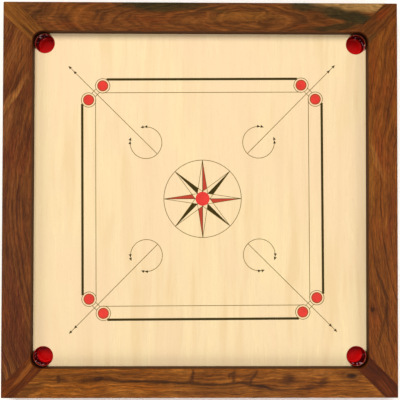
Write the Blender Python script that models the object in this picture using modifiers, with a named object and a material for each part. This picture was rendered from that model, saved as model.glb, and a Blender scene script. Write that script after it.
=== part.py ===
# Carrom board: a hardwood frame of four rails and four diagonal corner blocks, joined by loose tongues,
# round a plywood playing surface. Cleats and half-lapped battens carry the plywood from below, and a moulded
# cup hangs under each corner pocket. The origin is at the middle of the underside, +Z up, +Y to the back.
import math

import bpy
import bmesh
from mathutils import Matrix, Vector

# Driving dimensions, in metres.
OPENING = 0.740             # clear playing square between the rails
RAIL_WIDTH = 0.0635
FRAME_HEIGHT = 0.062
RECESS = 0.021              # how far the rails stand above the playing surface
PLY = 0.012                 # plywood thickness
REBATE = 0.010              # how far the plywood runs in under the rails
BLOCK_WIDTH = 0.038         # corner block, across the diagonal
OUTER_ROUND = 0.002         # rounding of the frame's outer edges
INNER_SHARE = 0.5           # rounding of the inner and lower edges, as a share of OUTER_ROUND
GAP = 0.0003                # left between pieces that touch

POCKET_RADIUS = 0.02225
CUP_WALL = 0.00145
CUP_DRAFT = 0.0010          # how much narrower the cup is inside at its floor
CUP_FLOOR = 0.0185          # height of the cup's inner floor
CUP_BASE = 0.0165           # height of the cup's underside
CUP_FILLET = 0.003
CUP_LIP_DROP = 0.0005       # the cup's lip lies this far below the playing surface
FLANGE_RADIUS = 0.0315
FLANGE = 0.002

CLEAT_WIDTH = 0.020
CLEAT_HEIGHT = 0.018
CLEAT_CLEAR = 0.002         # left between a cleat's end and a cup's flange
BATTEN_WIDTH = 0.040
BATTEN_OFFSET = 0.120       # a batten's centre line from the middle of the board

TONGUE_HALF = 0.012         # how far a tongue reaches into each side of a corner joint
TONGUE_ALONG = (0.536, 0.574)   # its ends, from the middle of the board along the diagonal
TONGUE_LEVELS = (0.022, 0.030)  # its underside and its top
TONGUE_EASE = 0.003         # rounding of a tongue's corners

CLEAT_SCREW = {"length": 0.035, "shank": 0.0020, "head": 0.0040, "point": 0.006}
BATTEN_SCREW = {"length": 0.025, "shank": 0.00175, "head": 0.0035, "point": 0.005}
CUP_SCREW = {"length": 0.0095, "shank": 0.0014, "head": 0.0027, "point": 0.003}
CROSS_ARM = 0.58            # a screw's cross recess, as shares of its head's radius
CROSS_HALF = 0.13
CROSS_DEPTH = 0.001
CUP_SCREWS = 3
CUP_SCREW_RING = 0.0280     # the cup screws' distance from the pocket's centre
PAN_HEAD = 0.0018           # height of a pan head
PAN_TOP = 0.7               # a pan head's flat top, as a share of its radius
PAN_SIDE = 0.4              # height of its upright side, as a share of PAN_HEAD
CLEAT_SCREW_PLACES = (-0.22, 0.22)
BATTEN_SCREW_PLACES = (-0.26, 0.26)

ARC_STEPS = 12              # straight steps in a quarter of a pocket arc
ROUND_SEGMENTS = 3          # steps across a rounded edge
SCREW_SEGMENTS = 10
CUP_SEGMENTS = 32
SMOOTH_ANGLE = 35           # faces that meet at less than this, in degrees, shade as one surface
PAST = 0.01                 # how far a cutter runs past the face that it opens
HEAD_ROOM = 0.004           # the same, above a countersunk head
CLOSE = 0.0001              # lengths nearer than this count as equal
WELD = 0.00001
TURN_WELD = 0.00005
FLAT_ANGLE = 0.5            # faces within this many degrees are one flat face

# Levels and half sizes that follow from them.
OUTER = OPENING / 2 + RAIL_WIDTH
INNER = OPENING / 2
SURFACE_Z = FRAME_HEIGHT - RECESS
PLY_BOTTOM = SURFACE_Z - PLY
REBATE_EDGE = INNER + REBATE
UNDER_PLY = PLY_BOTTOM - GAP
POCKET_OFFSET = INNER - POCKET_RADIUS
CLEAT_LOW = UNDER_PLY - CLEAT_HEIGHT
CLEAT_OUTER = REBATE_EDGE - GAP
CLEAT_INNER = CLEAT_OUTER - CLEAT_WIDTH
CLEAT_HALF = POCKET_OFFSET - FLANGE_RADIUS - CLEAT_CLEAR
BATTEN_HALF = CLEAT_INNER - GAP
LAP_Z = UNDER_PLY - CLEAT_HEIGHT / 2

CORNERS = {
    "front_left": (-1, -1),
    "front_right": (1, -1),
    "back_left": (-1, 1),
    "back_right": (1, 1),
}
SIDES = {"front": -90, "right": 0, "back": 90, "left": 180}   # bearing of each side from +X, in degrees

SHEESHAM = (0.20, 0.075, 0.025)
SHEESHAM_DARK = (0.14, 0.045, 0.015)
BIRCH = (0.93, 0.74, 0.42)
PINE = (0.70, 0.50, 0.28)
BEECH = (0.62, 0.42, 0.24)
RED_PLASTIC = (0.45, 0.004, 0.006)
STEEL = (0.60, 0.58, 0.52)

ROUGHNESS = {"lacquered_wood": 0.38, "lacquered_ply": 0.30, "bare_wood": 0.60, "plastic": 0.12, "steel": 0.35}


def clear_scene():
    for old in list(bpy.data.objects):
        bpy.data.objects.remove(old, do_unlink=True)


def new_collection(name):
    made = bpy.data.collections.new(name)
    bpy.context.scene.collection.children.link(made)
    return made


def make_material(name, colour, roughness, metallic=0.0):
    material = bpy.data.materials.new(name)
    material.use_nodes = True
    shader = material.node_tree.nodes["Principled BSDF"]
    shader.inputs["Base Color"].default_value = (*colour, 1.0)
    shader.inputs["Roughness"].default_value = roughness
    shader.inputs["Metallic"].default_value = metallic
    return material


def add_piece(name, mesh, colour, roughness, metallic=0.0, smooth=False):
    mesh.name = name
    if smooth:
        mesh.shade_smooth()
        mesh.set_sharp_from_angle(angle=math.radians(SMOOTH_ANGLE))
    piece = bpy.data.objects.new(name, mesh)
    piece.data.materials.clear()
    piece.data.materials.append(make_material(name, colour, roughness, metallic))
    board.objects.link(piece)
    return piece


def add_cutter(name, mesh):
    cutter = bpy.data.objects.new(name, mesh)
    cutter.hide_render = True
    cutter.display_type = "WIRE"
    cutters.objects.link(cutter)
    return cutter


def cut(piece, cutter):
    step = piece.modifiers.new("cut", "BOOLEAN")
    step.operation = "DIFFERENCE"
    step.solver = "EXACT"
    step.object = cutter


def mesh_from(bm, name):
    mesh = bpy.data.meshes.new(name)
    bm.to_mesh(mesh)
    bm.free()
    return mesh


def add_box(bm, low, high):
    low = Vector(low)
    high = Vector(high)
    place = Matrix.Translation((low + high) / 2) @ Matrix.Diagonal((*(high - low), 1.0))
    bmesh.ops.create_cube(bm, size=1.0, matrix=place)


def box_mesh(name, low, high):
    bm = bmesh.new()
    add_box(bm, low, high)
    return mesh_from(bm, name)


def add_upright_rod(bm, x, y, low, high, radius):
    place = Matrix.Translation((x, y, (low + high) / 2))
    bmesh.ops.create_cone(bm, cap_ends=True, segments=CUP_SEGMENTS, radius1=radius, radius2=radius,
                          depth=high - low, matrix=place)


def plan_prism(name, outline, low, high):
    # A flat outline seen from above, filled and raised from low to high, as one welded mesh.
    curve = bpy.data.curves.new(name, "CURVE")
    curve.dimensions = "2D"
    curve.fill_mode = "BOTH"
    curve.extrude = (high - low) / 2
    spline = curve.splines.new("POLY")
    spline.points.add(len(outline) - 1)
    for point, (x, y) in zip(spline.points, outline):
        point.co = (x, y, 0.0, 1.0)
    spline.use_cyclic_u = True
    holder = bpy.data.objects.new(name, curve)
    cutters.objects.link(holder)
    graph = bpy.context.evaluated_depsgraph_get()
    mesh = bpy.data.meshes.new_from_object(holder.evaluated_get(graph))
    bpy.data.objects.remove(holder, do_unlink=True)
    bm = bmesh.new()
    bm.from_mesh(mesh)
    bmesh.ops.remove_doubles(bm, verts=bm.verts, dist=WELD)
    bmesh.ops.dissolve_limit(bm, angle_limit=math.radians(FLAT_ANGLE), verts=bm.verts, edges=bm.edges)
    bmesh.ops.translate(bm, verts=bm.verts, vec=(0, 0, (low + high) / 2))
    bmesh.ops.recalc_face_normals(bm, faces=bm.faces)
    bm.to_mesh(mesh)
    bm.free()
    return mesh


def turned_mesh(name, profile, segments):
    # A profile at +X, listed from top to bottom, turned about Z.
    mesh = bpy.data.meshes.new(name)
    points = [(radius, 0.0, height) for radius, height in profile]
    mesh.from_pydata(points, [(i, i + 1) for i in range(len(points) - 1)], [])
    holder = bpy.data.objects.new(name, mesh)
    cutters.objects.link(holder)
    turn = holder.modifiers.new("turn", "SCREW")
    turn.steps = segments
    turn.render_steps = segments
    turn.use_merge_vertices = True
    turn.merge_threshold = TURN_WELD
    graph = bpy.context.evaluated_depsgraph_get()
    turned = bpy.data.meshes.new_from_object(holder.evaluated_get(graph))
    bpy.data.objects.remove(holder, do_unlink=True)
    return turned


def copies_mesh(name, single, places):
    bm = bmesh.new()
    for place in places:
        start = len(bm.verts)
        bm.from_mesh(single)
        bm.verts.ensure_lookup_table()
        bmesh.ops.transform(bm, matrix=place, verts=bm.verts[start:])
    return mesh_from(bm, name)


def round_frame_edges(mesh):
    # Weights for the frame's long edges: full on the outside, a share of it inside and underneath.
    bm = bmesh.new()
    bm.from_mesh(mesh)
    weight = bm.edges.layers.float.new("bevel_weight_edge")
    for edge in bm.edges:
        middle = (edge.verts[0].co + edge.verts[1].co) / 2
        reach = max(abs(middle.x), abs(middle.y))
        flat = abs(edge.verts[0].co.z - edge.verts[1].co.z) < CLOSE
        if flat and reach > OUTER - CLOSE:
            edge[weight] = 1.0 if middle.z > FRAME_HEIGHT / 2 else INNER_SHARE
        elif flat and reach < INNER + CLOSE and middle.z > FRAME_HEIGHT / 2:
            edge[weight] = INNER_SHARE
        elif not flat and min(abs(middle.x), abs(middle.y)) > OUTER - CLOSE:
            edge[weight] = 1.0
    bm.to_mesh(mesh)
    bm.free()


def add_frame_piece(name, outline, colour, slots):
    mesh = plan_prism(name, outline, 0.0, FRAME_HEIGHT)
    round_frame_edges(mesh)
    piece = add_piece(name, mesh, colour, ROUGHNESS["lacquered_wood"])
    rounding = piece.modifiers.new("rounding", "BEVEL")
    rounding.limit_method = "WEIGHT"
    rounding.width = OUTER_ROUND
    rounding.segments = ROUND_SEGMENTS
    cut(piece, rebate_cutter)
    for slot in slots:
        cut(piece, slot)
    return piece


def tongue_mesh(name, signs, side, clearance):
    # A loose tongue across the joint on one side of a corner block, or with a clearance the slot for it.
    low, high = TONGUE_LEVELS
    bm = bmesh.new()
    add_box(bm, (TONGUE_ALONG[0] - clearance, -TONGUE_HALF - clearance, low - clearance),
            (TONGUE_ALONG[1] + clearance, TONGUE_HALF + clearance, high + clearance))
    uprights = [edge for edge in bm.edges if abs(edge.verts[0].co.z - edge.verts[1].co.z) > CLOSE]
    bmesh.ops.bevel(bm, geom=uprights, offset=TONGUE_EASE, segments=ROUND_SEGMENTS, profile=0.5,
                    affect="EDGES")
    bmesh.ops.translate(bm, verts=bm.verts, vec=(0, side * BLOCK_WIDTH / 2, 0))
    turn = Matrix.Rotation(math.atan2(signs[1], signs[0]), 4, "Z")
    bmesh.ops.transform(bm, matrix=turn, verts=bm.verts)
    return mesh_from(bm, name)


def block_outline(signs):
    # Corner block from above: the outer corner, the two joint faces and the arc round the pocket.
    reach = BLOCK_WIDTH / math.sqrt(2) - GAP / math.sqrt(2)
    outline = [(OUTER, OUTER), (OUTER - reach, OUTER), (INNER - reach, INNER)]
    for step in range(ARC_STEPS + 1):
        turn = math.radians(90 - 90 * step / ARC_STEPS)
        outline.append((POCKET_OFFSET + POCKET_RADIUS * math.cos(turn),
                        POCKET_OFFSET + POCKET_RADIUS * math.sin(turn)))
    outline += [(INNER, INNER - reach), (OUTER, OUTER - reach)]
    return [(x * signs[0], y * signs[1]) for x, y in outline]


def rail_outline(bearing):
    # Rail from above, on the +X side and then turned: a long strip with a 45 degree cut at each end.
    short = INNER - BLOCK_WIDTH / math.sqrt(2) - GAP / math.sqrt(2)
    long = OUTER - BLOCK_WIDTH / math.sqrt(2) - GAP / math.sqrt(2)
    outline = [(INNER, -short), (OUTER, -long), (OUTER, long), (INNER, short)]
    turn = Matrix.Rotation(math.radians(bearing), 2)
    return [tuple(turn @ Vector(point)) for point in outline]


def side_turn(bearing):
    return Matrix.Rotation(math.radians(bearing), 4, "Z")


def countersunk_profile(screw):
    # Flat head at z = 0, point downwards.
    taper = screw["head"] - screw["shank"]
    return [(0.0, 0.0), (screw["head"], 0.0), (screw["shank"], -taper),
            (screw["shank"], screw["point"] - screw["length"]), (0.0, -screw["length"])]


def pan_profile(screw):
    # Domed head above z = 0, point downwards.
    head = screw["head"]
    return [(0.0, PAN_HEAD), (head * PAN_TOP, PAN_HEAD), (head, PAN_HEAD * PAN_SIDE), (head, 0.0),
            (screw["shank"], 0.0), (screw["shank"], screw["point"] - screw["length"]),
            (0.0, -screw["length"])]


def screw_mesh(name, profile):
    # A turned screw with a cross recess in its head.
    top = max(height for _, height in profile)
    widest = max(radius for radius, _ in profile)
    arm = widest * CROSS_ARM
    half_slot = widest * CROSS_HALF
    low = top - CROSS_DEPTH
    high = top + CROSS_DEPTH
    blank = bpy.data.objects.new(name, turned_mesh(name, profile, SCREW_SEGMENTS))
    cutters.objects.link(blank)
    slots = [add_cutter(name + "_slot", box_mesh("slot", (-arm, -half_slot, low), (arm, half_slot, high))),
             add_cutter(name + "_cross", box_mesh("slot", (-half_slot, -arm, low), (half_slot, arm, high)))]
    for slot in slots:
        cut(blank, slot)
    graph = bpy.context.evaluated_depsgraph_get()
    finished = bpy.data.meshes.new_from_object(blank.evaluated_get(graph))
    for used in (blank, *slots):
        bpy.data.objects.remove(used, do_unlink=True)
    return finished


def add_screws(mesh, places):
    mesh.shade_smooth()
    mesh.set_sharp_from_angle(angle=math.radians(SMOOTH_ANGLE))
    mesh.materials.clear()
    mesh.materials.append(make_material("zinc_plated_steel", STEEL, ROUGHNESS["steel"], 1.0))
    for name, place in places.items():
        screw = bpy.data.objects.new(name, mesh)
        screw.matrix_world = place
        board.objects.link(screw)


def screw_hole_mesh(name, profile, places):
    # The same turned shapes, larger all round by the gap, to cut the holes that the screws sit in.
    top = profile[0][1]
    grown = [(0.0, top + HEAD_ROOM), (profile[1][0] + GAP, top + HEAD_ROOM)]
    grown += [(radius + GAP, height) for radius, height in profile[1:-1]]
    grown.append((0.0, profile[-1][1] - GAP * 2))
    return copies_mesh(name, turned_mesh(name, grown, SCREW_SEGMENTS), places.values())


def cup_hole_mesh(places):
    # Straight holes for the shanks of the pan-head screws.
    radius = CUP_SCREW["shank"] + GAP
    depth = CUP_SCREW["length"] + GAP
    profile = [(0.0, PAN_HEAD), (radius, PAN_HEAD), (radius, -depth), (0.0, -depth)]
    single = turned_mesh("cup_screw_hole", profile, SCREW_SEGMENTS)
    return copies_mesh("cup_screw_holes", single, places.values())


def cleat_screw_places():
    # Head flush with the cleat's inner face, point outwards into the rail.
    lay_down = Matrix.Rotation(math.radians(-90), 4, "Y")
    places = {}
    for side, bearing in SIDES.items():
        for number, along in enumerate(CLEAT_SCREW_PLACES, 1):
            spot = Matrix.Translation((CLEAT_INNER, along, LAP_Z))
            places[f"cleat_screw_{side}_{number}"] = side_turn(bearing) @ spot @ lay_down
    return places


def batten_screw_places():
    # Head flush with the batten's underside, point up into the plywood.
    point_up = Matrix.Rotation(math.radians(180), 4, "X")
    places = {}
    for side, bearing in SIDES.items():
        for number, along in enumerate(BATTEN_SCREW_PLACES, 1):
            spot = Matrix.Translation((BATTEN_OFFSET, along, CLEAT_LOW))
            places[f"batten_screw_{side}_{number}"] = side_turn(bearing) @ spot @ point_up
    return places


def cup_screw_places():
    # Evenly round each cup's flange, the first towards the corner, heads under the flange.
    point_up = Matrix.Rotation(math.radians(180), 4, "X")
    places = {}
    for corner, (x, y) in CORNERS.items():
        for number in range(CUP_SCREWS):
            turn = math.atan2(y, x) + 2 * math.pi * number / CUP_SCREWS
            spot = (x * POCKET_OFFSET + CUP_SCREW_RING * math.cos(turn),
                    y * POCKET_OFFSET + CUP_SCREW_RING * math.sin(turn), UNDER_PLY - FLANGE - GAP)
            places[f"cup_screw_{corner}_{number + 1}"] = Matrix.Translation(spot) @ point_up
    return places


def cup_profile():
    # Half section of a cup, from the middle of its floor up inside, over the lip and down outside.
    outer = POCKET_RADIUS - GAP
    inner = outer - CUP_WALL
    floor_radius = inner - CUP_DRAFT
    lip = SURFACE_Z - CUP_LIP_DROP
    inside = [(0.0, CUP_FLOOR)]
    for turn in (0, math.pi / 4, math.pi / 2):
        inside.append((floor_radius - CUP_FILLET + CUP_FILLET * math.sin(turn),
                       CUP_FLOOR + CUP_FILLET - CUP_FILLET * math.cos(turn)))
    inside.append((inner, lip))
    foot = outer - CUP_DRAFT
    flange_low = UNDER_PLY - FLANGE
    outside = [(outer, lip), (outer, UNDER_PLY), (FLANGE_RADIUS, UNDER_PLY), (FLANGE_RADIUS, flange_low),
               (outer, flange_low), (foot, CUP_BASE + CUP_FILLET), (foot - CUP_FILLET, CUP_BASE),
               (0.0, CUP_BASE)]
    return inside + outside


def turn_to_side(mesh, bearing):
    mesh.transform(side_turn(bearing))
    return mesh


clear_scene()
board = new_collection("carrom_board")
cutters = new_collection("carrom_board_cutters")

cleat_places = cleat_screw_places()
batten_places = batten_screw_places()
cup_places = cup_screw_places()

rebate_cutter = add_cutter("rebate", box_mesh("rebate", (-REBATE_EDGE, -REBATE_EDGE, -PAST),
                                              (REBATE_EDGE, REBATE_EDGE, SURFACE_Z + GAP)))
cleat_hole_mesh = screw_hole_mesh("cleat_screw_holes", countersunk_profile(CLEAT_SCREW), cleat_places)
batten_hole_mesh = screw_hole_mesh("batten_screw_holes", countersunk_profile(BATTEN_SCREW), batten_places)
cleat_holes = add_cutter("cleat_screw_holes", cleat_hole_mesh)
batten_holes = add_cutter("batten_screw_holes", batten_hole_mesh)
cup_holes = add_cutter("cup_screw_holes", cup_hole_mesh(cup_places))

# Loose tongues: two to a corner, one in the joint to each rail, and the slots that they sit in.
block_slots = {corner: [] for corner in CORNERS}
rail_slots = {side: [] for side in SIDES}
for corner, signs in CORNERS.items():
    for side in corner.split("_"):
        across = 1 if math.sin(math.radians(SIDES[side]) - math.atan2(signs[1], signs[0])) > 0 else -1
        name = f"tongue_{corner}_to_{side}"
        add_piece(name, tongue_mesh(name, signs, across, 0.0), BEECH, ROUGHNESS["bare_wood"])
        slot = add_cutter("slot_" + name, tongue_mesh("slot_" + name, signs, across, GAP))
        block_slots[corner].append(slot)
        rail_slots[side].append(slot)

# Frame: four rails and four corner blocks, rebated underneath for the plywood.
for side, bearing in SIDES.items():
    rail = add_frame_piece("rail_" + side, rail_outline(bearing), SHEESHAM, rail_slots[side])
    cut(rail, cleat_holes)
for corner, signs in CORNERS.items():
    add_frame_piece("corner_block_" + corner, block_outline(signs), SHEESHAM_DARK, block_slots[corner])

# Playing surface: one sheet of plywood, run in under the rails, with a round hole at each corner.
sheet_edge = REBATE_EDGE - GAP
sheet_mesh = box_mesh("playing_surface", (-sheet_edge, -sheet_edge, PLY_BOTTOM),
                      (sheet_edge, sheet_edge, SURFACE_Z))
sheet = add_piece("playing_surface", sheet_mesh, BIRCH, ROUGHNESS["lacquered_ply"])
bm = bmesh.new()
for x, y in CORNERS.values():
    add_upright_rod(bm, x * POCKET_OFFSET, y * POCKET_OFFSET, PLY_BOTTOM - PAST, SURFACE_Z + PAST,
                    POCKET_RADIUS)
cut(sheet, add_cutter("pocket_holes", mesh_from(bm, "pocket_holes")))
cut(sheet, batten_holes)
cut(sheet, cup_holes)

# Pocket cups: a collar up through the plywood, a flange screwed on from below, a wall and a closed floor.
cup_mesh = turned_mesh("pocket_cup", cup_profile(), CUP_SEGMENTS)
for corner, (x, y) in CORNERS.items():
    mesh = cup_mesh.copy()
    mesh.transform(Matrix.Translation((x * POCKET_OFFSET, y * POCKET_OFFSET, 0.0)))
    cup = add_piece("pocket_cup_" + corner, mesh, RED_PLASTIC, ROUGHNESS["plastic"], smooth=True)
    cut(cup, cup_holes)

# Cleats: a ledger along each rail that holds the plywood up in its rebate.
for side, bearing in SIDES.items():
    mesh = box_mesh("cleat", (CLEAT_INNER, -CLEAT_HALF, CLEAT_LOW), (CLEAT_OUTER, CLEAT_HALF, UNDER_PLY))
    cleat = add_piece("cleat_" + side, turn_to_side(mesh, bearing), PINE, ROUGHNESS["bare_wood"])
    cut(cleat, cleat_holes)

# Battens: two each way, half-lapped where they cross. The front and back ones are notched from below.
lap_half = BATTEN_WIDTH / 2 + GAP
for side, bearing in SIDES.items():
    mesh = box_mesh("batten", (BATTEN_OFFSET - BATTEN_WIDTH / 2, -BATTEN_HALF, CLEAT_LOW),
                    (BATTEN_OFFSET + BATTEN_WIDTH / 2, BATTEN_HALF, UNDER_PLY))
    batten = add_piece("batten_" + side, turn_to_side(mesh, bearing), PINE, ROUGHNESS["bare_wood"])
    from_below = side in ("front", "back")
    low = CLEAT_LOW - PAST if from_below else LAP_Z - GAP / 2
    high = LAP_Z + GAP / 2 if from_below else UNDER_PLY + PAST
    bm = bmesh.new()
    for crossing in (-BATTEN_OFFSET, BATTEN_OFFSET):
        add_box(bm, (BATTEN_OFFSET - BATTEN_WIDTH, crossing - lap_half, low),
                (BATTEN_OFFSET + BATTEN_WIDTH, crossing + lap_half, high))
    cut(batten, add_cutter("lap_" + side, turn_to_side(mesh_from(bm, "lap_" + side), bearing)))
    cut(batten, batten_holes)

# Screws: cleat to rail, batten to plywood, cup flange to plywood.
add_screws(screw_mesh("cleat_screw", countersunk_profile(CLEAT_SCREW)), cleat_places)
add_screws(screw_mesh("batten_screw", countersunk_profile(BATTEN_SCREW)), batten_places)
add_screws(screw_mesh("cup_screw", pan_profile(CUP_SCREW)), cup_places)
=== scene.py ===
import math
import bpy
import bmesh
from mathutils import Matrix, Vector


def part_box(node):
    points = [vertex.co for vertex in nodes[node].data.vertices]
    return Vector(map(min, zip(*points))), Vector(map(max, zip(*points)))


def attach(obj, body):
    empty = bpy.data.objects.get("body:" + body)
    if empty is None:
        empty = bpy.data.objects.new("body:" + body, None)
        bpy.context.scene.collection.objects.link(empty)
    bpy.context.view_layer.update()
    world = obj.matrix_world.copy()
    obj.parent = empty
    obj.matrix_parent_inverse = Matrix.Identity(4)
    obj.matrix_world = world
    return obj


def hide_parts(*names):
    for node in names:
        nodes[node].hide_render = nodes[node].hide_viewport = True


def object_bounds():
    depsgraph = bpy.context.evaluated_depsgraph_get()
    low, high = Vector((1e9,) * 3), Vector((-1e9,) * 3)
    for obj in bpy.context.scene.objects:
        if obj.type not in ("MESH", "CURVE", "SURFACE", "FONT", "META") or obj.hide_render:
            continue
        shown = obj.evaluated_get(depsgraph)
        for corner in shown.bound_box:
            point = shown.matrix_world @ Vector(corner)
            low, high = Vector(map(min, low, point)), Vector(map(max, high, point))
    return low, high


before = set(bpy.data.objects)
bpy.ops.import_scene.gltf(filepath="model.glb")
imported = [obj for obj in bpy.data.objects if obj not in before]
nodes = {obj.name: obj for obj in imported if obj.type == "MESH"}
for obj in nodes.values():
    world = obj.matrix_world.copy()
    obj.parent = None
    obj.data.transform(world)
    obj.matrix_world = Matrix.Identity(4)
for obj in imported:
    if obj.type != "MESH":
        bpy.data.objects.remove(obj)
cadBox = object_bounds()
millimetre = 0.001
print("frame loaded,", len(nodes), "pieces")

corners = {"front_left": (-1, -1), "front_right": (1, -1), "back_left": (-1, 1), "back_right": (1, 1)}
surfaceLow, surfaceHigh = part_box("playing_surface")
surfaceZ = surfaceHigh.z
frameTop = cadBox[1].z


def linearColour(hexText):
    # sRGB hex to the linear values that a shader takes
    parts = [int(hexText[i:i + 2], 16) / 255 for i in (0, 2, 4)]
    return (*(p / 12.92 if p <= 0.04045 else ((p + 0.055) / 1.055) ** 2.4 for p in parts), 1.0)


def addNode(tree, kind, settings=None, links=None):
    # lower-case names are the node's own settings, capitals and numbers are its sockets
    made = tree.nodes.new("ShaderNode" + kind)
    for name, value in (settings or {}).items():
        if name == "stops":
            ramp = made.color_ramp
            while len(ramp.elements) < len(value):
                ramp.elements.new(0.5)
            for stop, (place, colour) in zip(ramp.elements, value):
                stop.position = place
                stop.color = linearColour(colour)
        elif isinstance(name, int) or name[0].isupper():
            made.inputs[name].default_value = linearColour(value) if isinstance(value, str) else value
        else:
            setattr(made, name, value)
    for name, source in (links or {}).items():
        tree.links.new(source, made.inputs[name])
    return made


def newMaterial(name, roughness, ior=1.5, metallic=0.0, specular=0.5):
    material = bpy.data.materials.new(name)
    material.use_nodes = True
    shader = material.node_tree.nodes["Principled BSDF"]
    shader.inputs["Roughness"].default_value = roughness
    shader.inputs["IOR"].default_value = ior
    shader.inputs["Metallic"].default_value = metallic
    shader.inputs["Specular IOR Level"].default_value = specular
    return material, material.node_tree, shader


def finishNode(name, material):
    mesh = nodes[name].data
    mesh.materials.clear()
    mesh.materials.append(material)


def newPiece(name, mesh, material, replaced=()):
    mesh.name = name
    mesh.materials.clear()
    mesh.materials.append(material)
    piece = bpy.data.objects.new(name, mesh)
    bpy.context.scene.collection.objects.link(piece)
    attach(piece, "root")
    if replaced:
        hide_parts(*replaced)
    return piece


def bmToMesh(bm, name):
    bmesh.ops.recalc_face_normals(bm, faces=bm.faces)
    mesh = bpy.data.meshes.new(name)
    bm.to_mesh(mesh)
    bm.free()
    return mesh


def addPlate(bm, outline, low, high):
    # a flat shape with a straight edge all round
    lows = [bm.verts.new((x, y, low)) for x, y in outline]
    highs = [bm.verts.new((x, y, high)) for x, y in outline]
    bm.faces.new(lows)
    bm.faces.new(highs)
    for i in range(len(outline)):
        k = (i + 1) % len(outline)
        bm.faces.new((lows[i], lows[k], highs[k], highs[i]))


def localPlace(tree, middle, bearing):
    # metres along the grain, across it and up, from the middle of the piece
    place = addNode(tree, "TexCoord").outputs["Object"]
    return addNode(tree, "Mapping", {"vector_type": "TEXTURE", "Location": (*middle, 0.0),
                                     "Rotation": (0.0, 0.0, math.radians(bearing))},
                   {"Vector": place}).outputs["Vector"]


def driftedPlace(tree, local, seed, amount, scale):
    # the fibres wander: the place is pushed about by slow noise
    shifted = addNode(tree, "VectorMath", {"operation": "ADD", 1: seed}, {0: local}).outputs[0]
    stretched = addNode(tree, "VectorMath", {"operation": "MULTIPLY", 1: scale}, {0: shifted}).outputs[0]
    slow = addNode(tree, "TexNoise", {"Scale": 1.0, "Detail": 2.0}, {"Vector": stretched}).outputs["Color"]
    centred = addNode(tree, "VectorMath", {"operation": "SUBTRACT", 1: (0.5, 0.5, 0.5)}, {0: slow}).outputs[0]
    push = addNode(tree, "VectorMath", {"operation": "MULTIPLY", 1: amount}, {0: centred}).outputs[0]
    return addNode(tree, "VectorMath", {"operation": "ADD"}, {0: local, 1: push}).outputs[0]


def stretchedNoise(tree, place, stretch, detail, roughness=0.5):
    # noise with its features drawn out: stretch is how many fit in a metre along the grain, across it and up
    drawn = addNode(tree, "VectorMath", {"operation": "MULTIPLY", 1: stretch}, {0: place}).outputs[0]
    return addNode(tree, "TexNoise", {"Scale": 1.0, "Detail": detail, "Roughness": roughness},
                   {"Vector": drawn}).outputs["Fac"]


def blendWhere(tree, colour, tone, pattern, start, full, most):
    # mixes a tone in where a pattern is high: none at start, the share called most at full
    share = addNode(tree, "MapRange", {"From Min": start, "From Max": full, "To Min": 0.0, "To Max": most},
                    {"Value": pattern}).outputs["Result"]
    return addNode(tree, "Mix", {"data_type": "RGBA", 7: tone}, {0: share, 6: colour}).outputs[2]


def linkFinish(tree, shader, colour, gloss=None, relief=None):
    # gloss is a pattern and the roughness at its low and high ends, relief a pattern, its strength and depth in mm
    tree.links.new(colour, shader.inputs["Base Color"])
    if gloss:
        pattern, low, high = gloss
        rough = addNode(tree, "MapRange", {"From Min": 0.3, "From Max": 0.7, "To Min": low, "To Max": high},
                        {"Value": pattern}).outputs["Result"]
        tree.links.new(rough, shader.inputs["Roughness"])
    if relief:
        pattern, strength, depth = relief
        bump = addNode(tree, "Bump", {"Strength": strength, "Distance": depth * millimetre}, {"Height": pattern})
        tree.links.new(bump.outputs["Normal"], shader.inputs["Normal"])


def addMark(tree, place, colour, mark):
    # a knot, crack, stain or pale streak: a soft ellipse, sizes in mm and its turn in degrees
    along, across, halfLength, halfWidth, turn, tone, strength = mark
    fitted = addNode(tree, "Mapping", {
        "vector_type": "TEXTURE", "Location": (along * millimetre, across * millimetre, 0.0),
        "Rotation": (0.0, 0.0, math.radians(turn)),
        "Scale": (halfLength * millimetre, halfWidth * millimetre, 1000.0)}, {"Vector": place}).outputs["Vector"]
    inside = addNode(tree, "TexGradient", {"gradient_type": "SPHERICAL"}, {"Vector": fitted}).outputs["Fac"]
    soft = addNode(tree, "MapRange", {"interpolation_type": "SMOOTHSTEP", "From Min": 0.0, "From Max": 0.55,
                                      "To Min": 0.0, "To Max": strength}, {"Value": inside}).outputs["Result"]
    return addNode(tree, "Mix", {"data_type": "RGBA", 7: tone}, {0: soft, 6: colour}).outputs[2]


def fromPockets(tree):
    # how far a point is from its own pocket's axis, and how far out towards the corner
    place = addNode(tree, "TexCoord").outputs["Object"]
    fold = addNode(tree, "VectorMath", {"operation": "ABSOLUTE"}, {0: place}).outputs[0]
    spot = (abs(pocketSpots[0].x), abs(pocketSpots[0].y), 0.0)
    offset = addNode(tree, "VectorMath", {"operation": "SUBTRACT", 1: spot}, {0: fold}).outputs[0]
    level = addNode(tree, "VectorMath", {"operation": "MULTIPLY", 1: (1.0, 1.0, 0.0)}, {0: offset}).outputs[0]
    away = addNode(tree, "VectorMath", {"operation": "LENGTH"}, {0: level}).outputs["Value"]
    outwards = addNode(tree, "VectorMath", {"operation": "DOT_PRODUCT", 1: (1.0, 1.0, 0.0)},
                       {0: level}).outputs["Value"]
    return away, outwards


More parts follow.
